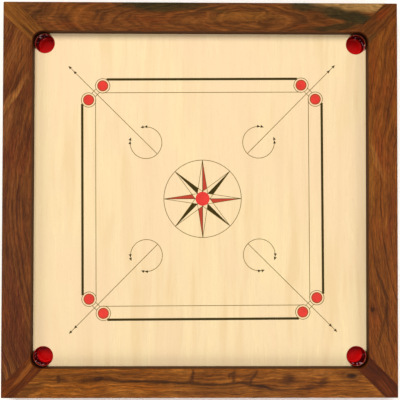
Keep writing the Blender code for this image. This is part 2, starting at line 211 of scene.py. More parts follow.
def sheesham(name, look):
    # Sheesham, planed, oiled and rubbed with a satin lacquer: strongly figured red-brown heartwood with dark
    # growth lines, grey-olive stains and pale sapwood, an open grain that shows in the gloss
    material, tree, shader = newMaterial(name, 0.42, 1.52, specular=0.22)
    local = localPlace(tree, look["middle"], look["bearing"])
    seed = (look["seed"] * 1.7, look["seed"] * 2.3, look["seed"] * 0.9)
    wandered = driftedPlace(tree, local, seed, look["drift"], look["driftScale"])
    place = driftedPlace(tree, wandered, seed, look["ripple"], look["rippleScale"])
    fromPith = addNode(tree, "VectorMath", {"operation": "SUBTRACT", 1: look["pith"]}, {0: place}).outputs[0]
    squashed = addNode(tree, "VectorMath", {"operation": "MULTIPLY", 1: (look["taper"], 1.0, 1.0)},
                       {0: fromPith}).outputs[0]
    growth = addNode(tree, "VectorMath", {"operation": "LENGTH"}, {0: squashed}).outputs["Value"]
    # growth lines every few millimetres, uneven in width and strength
    bands = addNode(tree, "TexNoise", {"noise_dimensions": "1D", "Scale": 1000 / look["lineSpacing"],
                                       "Detail": 4.0, "Roughness": 0.66}, {"W": growth}).outputs["Fac"]
    wide = addNode(tree, "TexNoise", {"noise_dimensions": "1D", "Scale": 250 / look["lineSpacing"],
                                      "Detail": 1.0}, {"W": growth}).outputs["Fac"]
    # late-wood lines inside each band, 2 to 3 mm apart
    fine = addNode(tree, "TexNoise", {"noise_dimensions": "1D", "Scale": 1000 / look["fineSpacing"],
                                      "Detail": 2.0, "Roughness": 0.6}, {"W": growth}).outputs["Fac"]
    # warmer and cooler parts of the board, and cloudy darker and lighter ones
    warmth = stretchedNoise(tree, place, (7.0, 26.0, 26.0), 3.0, 0.6)
    clouds = stretchedNoise(tree, place, (11.0, 34.0, 34.0), 3.0)
    fibres = stretchedNoise(tree, place, (14.0, 520.0, 520.0), 4.0, 0.6)
    # short interlocked flecks, about 15 mm long and 3 mm wide, lighter and darker
    flecks = stretchedNoise(tree, place, (65.0, 300.0, 300.0), 3.0, 0.7)
    # pores: short dark dashes, about 4 mm long and less than 1 mm wide
    pores = stretchedNoise(tree, place, (240.0, 2600.0, 2600.0), 1.0)
    cloudShare = addNode(tree, "Math", {"operation": "MULTIPLY", 1: 1.0 - look["bandShare"]},
                         {0: clouds}).outputs[0]
    tone = addNode(tree, "Math", {"operation": "MULTIPLY_ADD", 1: look["bandShare"]},
                   {0: bands, 2: cloudShare}).outputs[0]
    colour = addNode(tree, "ValToRGB", {"stops": [
        (0.34, look["line"]), (0.44, look["dark"]), (0.51, look["mid"]), (0.61, look["light"])]},
        {"Fac": tone}).outputs["Color"]
    colour = blendWhere(tree, colour, look["warm"], warmth, 0.44, 0.62, 0.75)
    colour = blendWhere(tree, colour, look["broad"], wide, 0.38, 0.62, 0.4)
    for mark in look["marks"]:
        colour = addMark(tree, place, colour, mark)
    poreDepth = addNode(tree, "MapRange", {"From Min": 0.60, "From Max": 0.72, "To Min": 0.0, "To Max": 1.0},
                        {"Value": pores}).outputs["Result"]
    shade = addNode(tree, "MapRange", {"From Min": 0.0, "From Max": 1.0, "To Min": 1.0, "To Max": 0.55},
                    {"Value": poreDepth}).outputs["Result"]
    for pattern, low, high in ((fibres, 0.66, 1.36), (fine, 1.0 - look["fineDepth"], 1.0 + look["fineDepth"]),
                               (flecks, 1.0 - look["fleckDepth"], 1.0 + look["fleckDepth"])):
        strength = addNode(tree, "MapRange", {"From Min": 0.3, "From Max": 0.7, "To Min": low, "To Max": high},
                           {"Value": pattern}).outputs["Result"]
        shade = addNode(tree, "Math", {"operation": "MULTIPLY"}, {0: strength, 1: shade}).outputs[0]
    colour = addNode(tree, "VectorMath", {"operation": "SCALE"}, {0: colour, "Scale": shade}).outputs[0]
    height = addNode(tree, "Math", {"operation": "SUBTRACT"}, {0: fibres, 1: poreDepth}).outputs[0]
    linkFinish(tree, shader, colour, gloss=(fibres, 0.34, 0.50), relief=(height, 0.35, 0.1))
    return material


def middleOf(name):
    low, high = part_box(name)
    return ((low.x + high.x) / 2, (low.y + high.y) / 2)


# Frame: one board of sheesham for each rail. A mark is its place along and across the rail from the middle, its
# half length and half width, all in mm, its turn in degrees, its colour and how strong it is
railLooks = {
    "rail_back": {
        "bearing": 0, "seed": 1.0, "pith": (0.085, -0.006, 0.022), "taper": 0.20, "lineSpacing": 6.0,
        "fineSpacing": 2.4, "fineDepth": 0.16, "drift": (0.06, 0.034, 0.02), "driftScale": (8.0, 20.0, 20.0),
        "ripple": (0.0, 0.006, 0.004), "bandShare": 0.62, "line": "432610", "dark": "562f12", "mid": "653814",
        "light": "76431a", "warm": "6c3411", "broad": "593515",
        "marks": [(-88, 31, 130, 21, 0, "2b2610", 0.9), (238, 27, 50, 17, 0, "302b15", 0.9),
                  (-60, 20, 70, 9, 3, "453012", 0.6), (30, 9, 50, 8, -20, "4a3212", 0.45),
                  (338, 29, 105, 26, 0, "9a7340", 0.95), (320, 20, 60, 7, -6, "8f6a3a", 0.7),
                  (323, 3, 92, 15, -12, "2a2511", 0.9), (340, -8, 46, 11, 10, "352b14", 0.7),
                  (282, -22, 70, 12, 3, "2f2711", 0.8), (85, -3, 90, 13, 4, "84501c", 0.5),
                  (150, 2, 60, 9, -6, "7d4c1c", 0.4), (-270, 8, 60, 22, -20, "7a4516", 0.5)]},
    "rail_front": {
        "bearing": 0, "seed": 2.0, "pith": (0.1, -0.16, 0.03), "taper": 0.09, "lineSpacing": 7.0,
        "fineSpacing": 3.0, "fineDepth": 0.24, "drift": (0.04, 0.022, 0.01), "driftScale": (9.0, 22.0, 22.0),
        "ripple": (0.0, 0.010, 0.006), "bandShare": 0.45, "line": "47230a", "dark": "6c3a0e", "mid": "804812",
        "light": "9c5f20", "warm": "8a4a0c", "broad": "6e3e10",
        "marks": [(-150, 5.5, 200, 5.0, 0, "2a1506", 0.7), (-60, 3.5, 130, 3.4, -2, "1f0f05", 0.85),
                  (60, 2, 90, 3.6, 1, "2a1506", 0.7), (123, -5, 52, 4.6, -13, "1f0f05", 0.9),
                  (150, -12, 40, 7.0, 0, "3a1d09", 0.6), (214, -12, 76, 4.0, 4, "33190a", 0.7),
                  (-16, 19, 20, 4.6, 94, "2a1506", 0.8), (-18, 10, 9, 6, 40, "361a08", 0.7),
                  (71, 19, 20, 6.0, 84, "2e1707", 0.75), (64, 22, 13, 4.0, 60, "2a1506", 0.6),
                  (115, 12, 24, 5.4, 76, "2a1506", 0.8), (100, 8, 13, 7, 20, "3a1d09", 0.55),
                  (-304, 9, 14, 6, 65, "2e1707", 0.8), (-296, 5, 16, 4, 0, "2e1707", 0.6),
                  (-216, 6, 14, 7, 10, "33190a", 0.7), (192, 8, 17, 12, 30, "33190a", 0.7),
                  (194, 8, 7, 5, 30, "1f0f05", 0.6), (268, 4, 15, 10, 40, "331a0a", 0.7),
                  (-60, 4, 90, 13, 0, "56300c", 0.5), (60, -2, 100, 13, 0, "56300c", 0.5),
                  (329, 15, 26, 19, 20, "522a0c", 0.7), (329, 15, 19, 13, 20, "8a5218", 0.5),
                  (329, 15, 13, 9, 20, "33190a", 0.85), (329, 15, 5, 4, 20, "160a04", 0.6),
                  (-16, 18, 18, 10, 90, "5a300e", 0.5), (71, 18, 19, 11, 84, "5a300e", 0.5),
                  (110, 14, 22, 13, 76, "5a300e", 0.5), (-300, 8, 20, 12, 0, "5a300e", 0.5),
                  (192, 8, 28, 18, 30, "5a300e", 0.45), (268, 4, 24, 16, 40, "5a300e", 0.4),
                  (20, -18, 120, 7, 2, "532c0d", 0.5), (-200, 20, 90, 7, -3, "532c0d", 0.4),
                  (-380, -16, 60, 16, 20, "4a230a", 0.6), (250, 22, 60, 9, 0, "a8682a", 0.4)]},
    "rail_left": {
        "bearing": -90, "seed": 3.0, "pith": (0.03, 0.135, 0.0), "taper": 0.42, "lineSpacing": 6.5,
        "fineSpacing": 3.2, "fineDepth": 0.26, "drift": (0.05, 0.018, 0.01), "driftScale": (6.0, 14.0, 14.0),
        "ripple": (0.0, 0.005, 0.004), "bandShare": 0.66, "line": "3a1c0c", "dark": "502811", "mid": "643614",
        "light": "76451c", "warm": "6a3112", "broad": "562c11",
        "marks": [(-232, -8, 80, 9, -32, "915a28", 0.5), (-215, -12, 60, 5, -28, "a06a30", 0.35),
                  (-300, -20, 70, 11, -20, "855024", 0.5), (-330, 6, 70, 24, 0, "7c451a", 0.4),
                  (-150, -22, 70, 7, -12, "80502a", 0.35), (-262, -2, 46, 6, -24, "2e1609", 0.5),
                  (320, 5, 80, 28, 22, "4e200f", 0.55), (230, 0, 120, 20, 10, "5a2612", 0.4)]},
    "rail_right": {
        "bearing": -90, "seed": 4.0, "pith": (-0.03, 0.115, 0.0), "taper": 0.34, "lineSpacing": 6.0,
        "fineSpacing": 2.8, "fineDepth": 0.22, "drift": (0.06, 0.022, 0.01), "driftScale": (7.0, 16.0, 16.0),
        "ripple": (0.0, 0.006, 0.004), "bandShare": 0.6, "line": "49260d", "dark": "61330f", "mid": "733d10",
        "light": "844b16", "warm": "7c3a12", "broad": "653610",
        "marks": [(236, -25, 8, 6.5, 0, "170b05", 0.95), (238, -24, 22, 11, 10, "4a2509", 0.5),
                  (190, -3, 60, 4.4, 22, "3a1d09", 0.7), (270, 8, 66, 4.4, 4, "381c08", 0.7),
                  (300, -6, 50, 4.0, -12, "3a1d09", 0.6), (-60, -26, 150, 9, 0, "8f5a1e", 0.5),
                  (-90, -14, 60, 8, 16, "93602a", 0.4), (40, 18, 90, 12, -6, "6a2f0f", 0.4)]},
}
for name, look in railLooks.items():
    look["middle"] = middleOf(name)
    look.update({"rippleScale": (22.0, 60.0, 60.0), "fleckDepth": 0.34})
    finishNode(name, sheesham("sheesham_lacquered_" + name, look))

# Corner blocks: short pieces with the grain along the diagonal
blockLooks = {
    "corner_block_back_left": {
        "bearing": -45, "seed": 5.0, "pith": (0.03, 0.16, -0.05), "drift": (0.02, 0.010, 0.006),
        "line": "5a3210", "dark": "6c3e12", "mid": "794718", "light": "8a5621", "warm": "763c10",
        "broad": "663a14", "marks": [(26, -8, 30, 7, 8, "45250c", 0.5)]},
    "corner_block_back_right": {
        "bearing": 45, "seed": 6.4, "pith": (0.05, -0.09, 0.03), "drift": (0.04, 0.022, 0.010),
        "line": "4a270c", "dark": "592f0e", "mid": "643510", "light": "703d13", "warm": "6c2e0c",
        "broad": "4c2a10", "marks": [(-30, -12, 26, 9, 0, "4a3214", 0.6), (24, 8, 30, 12, 0, "74300c", 0.6)]},
    "corner_block_front_left": {
        "bearing": 45, "seed": 7.3, "pith": (-0.10, 0.07, 0.02), "drift": (0.05, 0.026, 0.010),
        "line": "4c210a", "dark": "572707", "mid": "622c07", "light": "6e3509", "warm": "5c2508",
        "broad": "4e2109", "marks": [(10, 6, 42, 8, 6, "8f5019", 0.5), (-24, -10, 26, 8, 0, "3c1807", 0.5)]},
    "corner_block_front_right": {
        "bearing": -45, "seed": 8.6, "pith": (0.04, 0.10, 0.04), "drift": (0.05, 0.024, 0.010),
        "line": "401804", "dark": "4a1d04", "mid": "542104", "light": "5f2705", "warm": "521c06",
        "broad": "421a06", "marks": [(-20, 8, 32, 9, -6, "3a1706", 0.6), (30, -6, 26, 8, 0, "6e3208", 0.5)]},
}
for name, look in blockLooks.items():
    look.update({"middle": middleOf(name), "taper": 0.14, "lineSpacing": 6.0, "fineSpacing": 2.6,
                 "fineDepth": 0.2, "fleckDepth": 0.3, "driftScale": (14.0, 30.0, 30.0), "ripple": (0.0, 0.005, 0.004),
                 "rippleScale": (22.0, 60.0, 60.0), "bandShare": 0.5})
    finishNode(name, sheesham("sheesham_lacquered_" + name, look))

# The frame's inner faces and pocket hollows: painted shade low down, up to a line, plain sheesham above it
edgeLook = {"paintedShade": "110a05", "paintedShadePatch": "22140a", "paintedShadeBrown": "4a2c14", "wood": "6a3a14", "woodDark": "4c260c",
            "paintedShadeHeight": 13.0, "ragged": 4.0, "fade": 2.5, "surfaceTucked": 9.7, "reach": 0.6,
            "hollowReach": 1.2, "upright": 0.35}


def paintedShadeEdge(look):
    # Sheesham with painted shade low down, where the recess lies in shade: near black in the pocket hollows, a deep
    # brown line round the rest of the board
    material, tree, shader = newMaterial("sheesham_painted_shade", 0.6, 1.5, specular=0.1)
    place = addNode(tree, "TexCoord").outputs["Object"]
    patches = addNode(tree, "TexNoise", {"Scale": 120.0, "Detail": 4.0}, {"Vector": place}).outputs["Fac"]
    # painted shade: near black, in two patchy tones
    paintedShade = addNode(tree, "ValToRGB", {"stops": [(0.45, look["paintedShade"]), (0.75, look["paintedShadePatch"])]},
                    {"Fac": patches}).outputs["Color"]
    away = fromPockets(tree)[0]
    # the pocket hollows keep the near-black painted shade, the rest of the inner faces get a deep brown painted shade
    hollow = addNode(tree, "Math", {"operation": "LESS_THAN",
                                    1: pocketReach + look["hollowReach"] * millimetre}, {0: away}).outputs[0]
    paintedShade = addNode(tree, "Mix", {"data_type": "RGBA", 6: look["paintedShadeBrown"]}, {0: hollow, 7: paintedShade}).outputs[2]
    grain = stretchedNoise(tree, place, (30.0, 30.0, 600.0), 4.0)
    wood = addNode(tree, "ValToRGB", {"stops": [(0.40, look["woodDark"]), (0.62, look["wood"])]},
                   {"Fac": grain}).outputs["Color"]
    # the painted shade stops at a ragged line above the playing surface, plain wood above it
    height = addNode(tree, "SeparateXYZ", {}, {0: place}).outputs["Z"]
    uneven = addNode(tree, "Math", {"operation": "MULTIPLY_ADD", 1: look["ragged"] * millimetre},
                     {0: patches, 2: height}).outputs[0]
    line = surfaceZ + (look["paintedShadeHeight"] + look["ragged"] / 2) * millimetre
    bare = addNode(tree, "MapRange", {"From Min": line, "From Max": line + look["fade"] * millimetre,
                                      "To Min": 0.0, "To Max": 1.0}, {"Value": uneven}).outputs["Result"]
    colour = addNode(tree, "Mix", {"data_type": "RGBA"}, {0: bare, 6: paintedShade, 7: wood}).outputs[2]
    linkFinish(tree, shader, colour, relief=(grain, 0.2, 0.2))
    return material


wellEdge = surfaceHigh.x - edgeLook["surfaceTucked"] * millimetre
pocketSpots = [Vector(middleOf("pocket_cup_" + corner)) for corner in corners]
pocketReach = wellEdge - abs(pocketSpots[0].x)
paintedShadeMaterial = paintedShadeEdge(edgeLook)
# upright inner faces round the well and the pocket hollows take the painted-shade material
for name in list(railLooks) + list(blockLooks):
    mesh = nodes[name].data
    mesh.materials.append(paintedShadeMaterial)
    for face in mesh.polygons:
        spot = face.center
        inWell = max(abs(spot.x), abs(spot.y)) < wellEdge + edgeLook["reach"] * millimetre
        inPocket = min((spot.xy - p).length for p in pocketSpots) < pocketReach + edgeLook["reach"] * millimetre
        if abs(face.normal.z) < edgeLook["upright"] and spot.z > surfaceZ / 2 and (inWell or inPocket):
            face.material_index = 1

# Glue lines: each joint between a block and a rail is filled almost level, a dark hairline on the top
glueLook = {"clearOfWood": 0.02, "shortOfEdge": 1.2, "belowTop": 0.2, "aboveTongue": 1.0,
            "flatWithin": 0.1, "tone": "1e1108", "dust": "3c2413"}


def driedGlue(look):
    # Hide glue darkened with sheesham dust: near black, dull where it was scraped level
    material, tree, shader = newMaterial("hide_glue_scraped", 0.55, 1.5, specular=0.2)
    place = addNode(tree, "TexCoord").outputs["Object"]
    dust = addNode(tree, "TexNoise", {"Scale": 900.0, "Detail": 2.0}, {"Vector": place}).outputs["Fac"]
    colour = addNode(tree, "ValToRGB", {"stops": [(0.35, look["tone"]), (0.7, look["dust"])]},
                     {"Fac": dust}).outputs["Color"]
    linkFinish(tree, shader, colour)
    return material


def glueLine(corner, signs, side, glue, look):
    # a thin sheet in the joint gap on one side of a block, over the tongue and just under the frame's top
    along = Vector((signs[0], signs[1])).normalized()
    across = Vector((-along.y, along.x)) * side
    block = [v.co for v in nodes["corner_block_" + corner].data.vertices if v.co.z > surfaceZ]
    face = max(v.xy.dot(across) for v in block)
    onFace = [v.xy.dot(along) for v in block if face - v.xy.dot(across) < look["flatWithin"] * millimetre]
    rail = next(nodes["rail_" + end] for end in corner.split("_")
                if Vector(middleOf("rail_" + end)).dot(across) > 0)
    gap = min(v.co.xy.dot(across) for v in rail.data.vertices
              if v.co.z > surfaceZ and v.co.xy.dot(along) > min(onFace)) - face
    low, high = min(onFace) + look["shortOfEdge"] * millimetre, max(onFace) - look["shortOfEdge"] * millimetre
    near, far = face + look["clearOfWood"] * millimetre, face + gap - look["clearOfWood"] * millimetre
    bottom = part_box("tongue_" + corner + "_to_" + corner.split("_")[0])[1].z + look["aboveTongue"] * millimetre
    top = frameTop - look["belowTop"] * millimetre
    outline = [along * a + across * b for a, b in ((low, near), (high, near), (high, far), (low, far))]
    sheet = bmesh.new()
    addPlate(sheet, [tuple(p) for p in outline], bottom, top)
    name = "glue_line_" + corner + ("_ccw" if side > 0 else "_cw")
    newPiece(name, bmToMesh(sheet, name), glue)


glue = driedGlue(glueLook)
for corner, signs in corners.items():
    for side in (-1, 1):
        glueLine(corner, signs, side, glue, glueLook)
print("frame finished in sheesham")

# Playing surface: birch plywood, rotary cut, sanded to 320 grit and sealed with a hard clear lacquer: pale
# cream with faint long figure, and plies that alternate in tone on every cut edge
plyLook = {
    "face": "ecd5a9", "facePale": "edd7a9", "faceDark": "e6cc9e", "facePink": "ebd0aa", "streak": "dfbb88",
    "plyLight": "dcb985", "plyDark": "b58c58", "plyThickness": 1.5, "figureSpacing": 26.0, "roughness": 0.24,
    "paintedShade": "1c110a", "paintedShadeReach": 2.6, "paintedShadeOut": 3.0, "paintedShadeFull": 12.0}


def birchPly(look):
    material, tree, shader = newMaterial("birch_plywood_lacquered", look["roughness"], 1.5)
    local = localPlace(tree, (0.0, 0.0), 90)
    place = driftedPlace(tree, local, (3.1, 0.4, 0.0), (0.10, 0.05, 0.0), (2.2, 5.0, 5.0))
    growthPlace = addNode(tree, "VectorMath", {"operation": "MULTIPLY", 1: (0.10, 1.0, 6.0)},
                          {0: place}).outputs[0]
    figure = addNode(tree, "TexNoise", {"Scale": 1000 / look["figureSpacing"], "Detail": 4.0,
                                        "Roughness": 0.55}, {"Vector": growthPlace}).outputs["Fac"]
    fibres = stretchedNoise(tree, place, (14.0, 900.0, 900.0), 3.0)
    flakes = stretchedNoise(tree, local, (160.0, 700.0, 700.0), 2.0)
    colour = addNode(tree, "ValToRGB", {"stops": [
        (0.36, look["faceDark"]), (0.50, look["face"]), (0.62, look["facePale"])]},
        {"Fac": figure}).outputs["Color"]
    # slow drifts of tone over the sheet, from creamy to a little pink
    drift = stretchedNoise(tree, place, (5.0, 11.0, 11.0), 3.0)
    colour = blendWhere(tree, colour, look["facePink"], drift, 0.42, 0.62, 0.7)
    colour = blendWhere(tree, colour, look["streak"], fibres, 0.56, 0.75, 0.35)
    colour = blendWhere(tree, colour, look["streak"], flakes, 0.62, 0.72, 0.35)
    # painted shade on the sliver of face outside each pocket, next to the frame's corner
    away, outwards = fromPockets(tree)
    isClose = addNode(tree, "Math", {"operation": "LESS_THAN", 1: pocketReach + look["paintedShadeReach"] * millimetre},
                      {0: away}).outputs[0]
    isOut = addNode(tree, "MapRange", {"From Min": look["paintedShadeOut"] * millimetre,
                                       "From Max": look["paintedShadeFull"] * millimetre, "To Min": 0.0, "To Max": 1.0},
                    {"Value": outwards}).outputs["Result"]
    paintedShadeShare = addNode(tree, "Math", {"operation": "MULTIPLY"}, {0: isClose, 1: isOut}).outputs[0]
    colour = addNode(tree, "Mix", {"data_type": "RGBA", 7: look["paintedShade"]}, {0: paintedShadeShare, 6: colour}).outputs[2]
    # the cut edges show the plies, every second one turned and so darker
    parts = addNode(tree, "SeparateXYZ", {}, {0: local})
    sawn = addNode(tree, "Math", {"operation": "PINGPONG", 1: look["plyThickness"] * millimetre},
                   {0: parts.outputs["Z"]}).outputs[0]
    dark = addNode(tree, "Math", {"operation": "GREATER_THAN", 1: look["plyThickness"] * millimetre / 2},
                   {0: sawn}).outputs[0]
    layers = addNode(tree, "Mix", {"data_type": "RGBA", 6: look["plyLight"], 7: look["plyDark"]},
                     {0: dark}).outputs[2]
    normal = addNode(tree, "SeparateXYZ", {}, {0: addNode(tree, "NewGeometry").outputs["Normal"]}).outputs["Z"]
    flat = addNode(tree, "Math", {"operation": "ABSOLUTE"}, {0: normal}).outputs[0]
    isFace = addNode(tree, "Math", {"operation": "GREATER_THAN", 1: 0.5}, {0: flat}).outputs[0]
    colour = addNode(tree, "Mix", {"data_type": "RGBA"}, {0: isFace, 6: layers, 7: colour}).outputs[2]
    linkFinish(tree, shader, colour, gloss=(figure, look["roughness"] - 0.04, look["roughness"] + 0.06),
               relief=(fibres, 0.12, 0.05))
    return material


finishNode("playing_surface", birchPly(plyLook))
print("playing surface finished in birch plywood")

# Printed figure, in millimetres from its own middle, which lies a little off the board's
inkLook = {
    "offset": (5.0, 1.5), "turn": 0.4, "black": "3a300c", "fine": "63500f", "red": "d63b32",
    "starRed": "b4402f", "hubRed": "d83a35", "sunk": 0.02, "layers": (0.04, 0.05, 0.06, 0.07), "fineLine": 1.3}
baseLook = {
    "thickAt": 267.5, "thickWidth": 5.4, "thickShort": 8.6, "thinAt": 237.7, "circleNear": 221.7,
    "circleFar": 253.3, "ringRadius": 16.1, "discRadius": 12.4, "discLine": 11.2, "linkApart": 11.0,
    "linkWidth": 1.2}
arrowLook = {
    "arcAt": 125.6, "arcRadius": 35.4, "arcOpen": 38.0, "arcSteps": 72, "arcHeadsApart": 8.0,
    "headLength": 7.4, "headWidth": 6.4, "tip": 298.0, "secondTip": 286.8}
starLook = {
    "tip": 86.2, "halfWidth": 13.3, "hubRadius": 15.6, "circle": 86.3, "circleSteps": 160, "rays": 8,
    "sideLine": 1.1, "axisLine": 1.2}


def screenInk(name, colour):
    # Screen-printed enamel ink: a thin even film, a little duller than the lacquer and faintly mottled where
    # the mesh laid it down
    material, tree, shader = newMaterial(name, 0.5, 1.5, specular=0.2)
    place = addNode(tree, "TexCoord").outputs["Object"]
    mesh = addNode(tree, "TexNoise", {"Scale": 2200.0, "Detail": 2.0}, {"Vector": place}).outputs["Fac"]
    slow = addNode(tree, "TexNoise", {"Scale": 60.0, "Detail": 3.0}, {"Vector": place}).outputs["Fac"]
    tone = addNode(tree, "MapRange", {"From Min": 0.3, "From Max": 0.7, "To Min": 0.90, "To Max": 1.10},
                   {"Value": slow}).outputs["Result"]
    tint = addNode(tree, "VectorMath", {"operation": "SCALE", 0: linearColour(colour)[:3]},
                   {"Scale": tone}).outputs[0]
    linkFinish(tree, shader, tint, gloss=(mesh, 0.44, 0.58), relief=(mesh, 0.1, 0.02))
    return material


inks = {
    "black": screenInk("screen_ink_black", inkLook["black"]),
    "fine": screenInk("screen_ink_black_thin_film", inkLook["fine"]),
    "red": screenInk("screen_ink_red", inkLook["red"]),
    "starRed": screenInk("screen_ink_star_red", inkLook["starRed"]),
    "hubRed": screenInk("screen_ink_hub_red", inkLook["hubRed"])}
middle = Vector(middleOf("playing_surface")) + Vector(inkLook["offset"]) * millimetre
printPlace = (Matrix.Translation((middle.x, middle.y, surfaceZ)) @
              Matrix.Rotation(math.radians(inkLook["turn"]), 4, "Z") @ Matrix.Scale(millimetre, 4))


def addBand(bm, points, width, low, high, closed=False):
    # a strip of even width along a line of points
    last = len(points) - 1
    rings = []
    for i, point in enumerate(points):
        before = points[i - 1] if closed or i else point
        after = points[(i + 1) % len(points)] if closed or i < last else point
        along = (Vector(after) - Vector(before)).normalized()
        side = Vector((-along.y, along.x)) * width / 2
        rings.append([bm.verts.new((point[0] + side.x * s, point[1] + side.y * s, z))
                      for s, z in ((1, low), (-1, low), (-1, high), (1, high))])
    for i in range(len(points) if closed else last):
        near, far = rings[i], rings[(i + 1) % len(points)]
        for k in range(4):
            bm.faces.new((near[k], near[(k + 1) % 4], far[(k + 1) % 4], far[k]))
    if not closed:
        bm.faces.new(rings[0])
        bm.faces.new(rings[-1])


def arcPoints(centre, radius, start, end, steps):
    turns = [math.radians(start + (end - start) * i / steps) for i in range(steps + 1)]
    return [(centre[0] + radius * math.cos(t), centre[1] + radius * math.sin(t)) for t in turns]


def circlePoints(centre, radius, steps=96):
    return arcPoints(centre, radius, 0, 360, steps)[:-1]


def headPoints(tip, bearing, length, width):
    # a filled arrow head whose point is at tip
    ahead = Vector((math.cos(math.radians(bearing)), math.sin(math.radians(bearing))))
    side = Vector((-ahead.y, ahead.x)) * width / 2
    back = Vector(tip) - ahead * length
    return [tuple(tip), tuple(back + side), tuple(back - side)]


def inkPiece(name, ink, layer, bands=(), plates=()):
    bm = bmesh.new()
    low, high = -inkLook["sunk"], inkLook["layers"][layer]
    for points, width, closed in bands:
        addBand(bm, points, width, low, high, closed)
    for outline in plates:
        addPlate(bm, outline, low, high)
    bm.transform(printPlace)
    return newPiece(name, bmToMesh(bm, name), inks[ink])


def mirrored(points, signs):
    return [(x * signs[0], y * signs[1]) for x, y in points]


def turned(points, degrees):
    c, s = math.cos(math.radians(degrees)), math.sin(math.radians(degrees))
    return [(x * c - y * s, x * s + y * c) for x, y in points]


near, far = baseLook["circleNear"], baseLook["circleFar"]
circleCentres = [c for signs in corners.values() for c in mirrored([(near, far), (far, near)], signs)]
thickEnd = near - baseLook["thickShort"]
thick = [(-thickEnd, baseLook["thickAt"]), (thickEnd, baseLook["thickAt"])]
thin = [(-near, baseLook["thinAt"]), (near, baseLook["thinAt"])]
fine = inkLook["fineLine"]
inkPiece("base_lines_thick", "black", 0,
         bands=[(turned(thick, 90 * k), baseLook["thickWidth"], False) for k in range(4)])
inkPiece("base_lines_thin", "fine", 1,
         bands=[(turned(thin, 90 * k), fine, False) for k in range(4)])
inkPiece("base_circle_rings", "fine", 2,
         bands=[(circlePoints(c, baseLook[radius]), fine, True) for c in circleCentres
                for radius in ("ringRadius", "discLine")])
inkPiece("base_circle_discs", "red", 1,
         plates=[circlePoints(c, baseLook["discRadius"]) for c in circleCentres])

# two short lines join the rings at each corner, either side of the gap that the arrow passes through
half = Vector((near + far, near + far)) / 2
diagonal = Vector((1, 1)).normalized()
cross = Vector((1, -1)).normalized()
links = []
for shift in (-1, 1):
    place = half + diagonal * shift * baseLook["linkApart"] / 2
    apart = (Vector((near, far)) - Vector((far, near))).length / 2
    reach = apart - math.sqrt(baseLook["ringRadius"] ** 2 - (baseLook["linkApart"] / 2) ** 2)
    links.append([tuple(place - cross * reach), tuple(place + cross * reach)])
inkPiece("base_circle_links", "fine", 0,
         bands=[(mirrored(link, signs), baseLook["linkWidth"], False) for signs in corners.values()
                for link in links])

# arcs and arrows that point into the pockets
arcMiddle = (arrowLook["arcAt"], arrowLook["arcAt"])
arcEnds = (45 + arrowLook["arcOpen"], 405 - arrowLook["arcOpen"])
arcLine = arcPoints(arcMiddle, arrowLook["arcRadius"], *arcEnds, arrowLook["arcSteps"])
arrowStart = arrowLook["arcAt"] - arrowLook["arcRadius"] / math.sqrt(2)
arrowEnd = arrowLook["tip"] - arrowLook["headLength"] / 2
arrowLine = [(arrowStart, arrowStart), (arrowEnd, arrowEnd)]
heads = [headPoints((arrowLook[t], arrowLook[t]), 45, arrowLook["headLength"], arrowLook["headWidth"])
         for t in ("tip", "secondTip")]
for end, sense in zip(arcEnds, (-1, 1)):
    for number in range(2):
        turn = end + sense * math.degrees(number * arrowLook["arcHeadsApart"] / arrowLook["arcRadius"])
        spot = arcPoints(arcMiddle, arrowLook["arcRadius"], turn, turn, 1)[0]
        heads.append(headPoints(spot, turn + sense * 90, arrowLook["headLength"], arrowLook["headWidth"]))
inkPiece("pocket_arcs", "fine", 0,
         bands=[(mirrored(arcLine, signs), fine, False) for signs in corners.values()])
inkPiece("pocket_arrows", "fine", 1,
         bands=[(mirrored(arrowLine, signs), fine, False) for signs in corners.values()])
inkPiece("pocket_arrow_heads", "black", 2,
         plates=[mirrored(head, signs) for signs in corners.values() for head in heads])

# star: each ray is dark on its clockwise side, red and black by turns
step = 360 / starLook["rays"]
tip, width = Vector((starLook["tip"], 0)), starLook["halfWidth"]
nextTip = Vector(turned([tuple(tip)], -step)[0])
nextRoot = Vector(turned([(0, width)], -step)[0])


def meeting(a, b, c, d):
    # where the line through a and b meets the line through c and d
    ab, cd = b - a, d - c
    share = ((c - a).x * cd.y - (c - a).y * cd.x) / (ab.x * cd.y - ab.y * cd.x)
    return a + ab * share


notch = meeting(tip, Vector((0, -width)), nextRoot, nextTip)
heel = meeting(tip, Vector((0, 0)), nextRoot, nextTip)
ray = [tuple(tip), tuple(notch), tuple(heel)]
bearings = [90 - step * k for k in range(starLook["rays"])]
inkPiece("star_rays_red", "starRed", 0, plates=[turned(ray, b) for b in bearings[::2]])
inkPiece("star_rays_black", "black", 0, plates=[turned(ray, b) for b in bearings[1::2]])
inkPiece("star_outline", "fine", 1,
         bands=[(turned([tuple(tip), (0, side * width)], b), starLook["sideLine"], False)
                for b in bearings for side in (1, -1)])
inkPiece("star_axes", "black", 2,
         bands=[(turned([tuple(tip), tuple(heel)], b), starLook["axisLine"], False) for b in bearings])
inkPiece("star_hub", "hubRed", 3, plates=[circlePoints((0, 0), starLook["hubRadius"])])
inkPiece("centre_circle", "fine", 3,
         bands=[(circlePoints((0, 0), starLook["circle"], starLook["circleSteps"]), fine, True)])
print("printed figure laid down")

# Pocket cups, sizes in mm
cupLook = {
    "wall": 1.45, "draft": 1.0, "floorThick": 2.0, "floorFillet": 3.5, "collarInset": 9.55, "flange": 2.0,
    "flangeEdge": 0.6, "flangeGap": 0.3, "rootTaper": 0.1, "gateRadius": 1.2, "gateSlope": 0.4, "gateDepth": 0.35,
    "segments": 96, "filletSteps": 6, "lipSteps": 8, "sharpFrom": 50, "floor": "f20a0c", "wallPaintedShade": "0c0204",
    "rim": "b00a0d", "paintedGlint": "c9a3ac", "paintedGlintFrom": 6.0, "paintedGlintFull": 14.0, "paintedGlintScale": (240.0, 240.0, 120.0),
    "glow": 0.6, "glowDepth": 9.0}


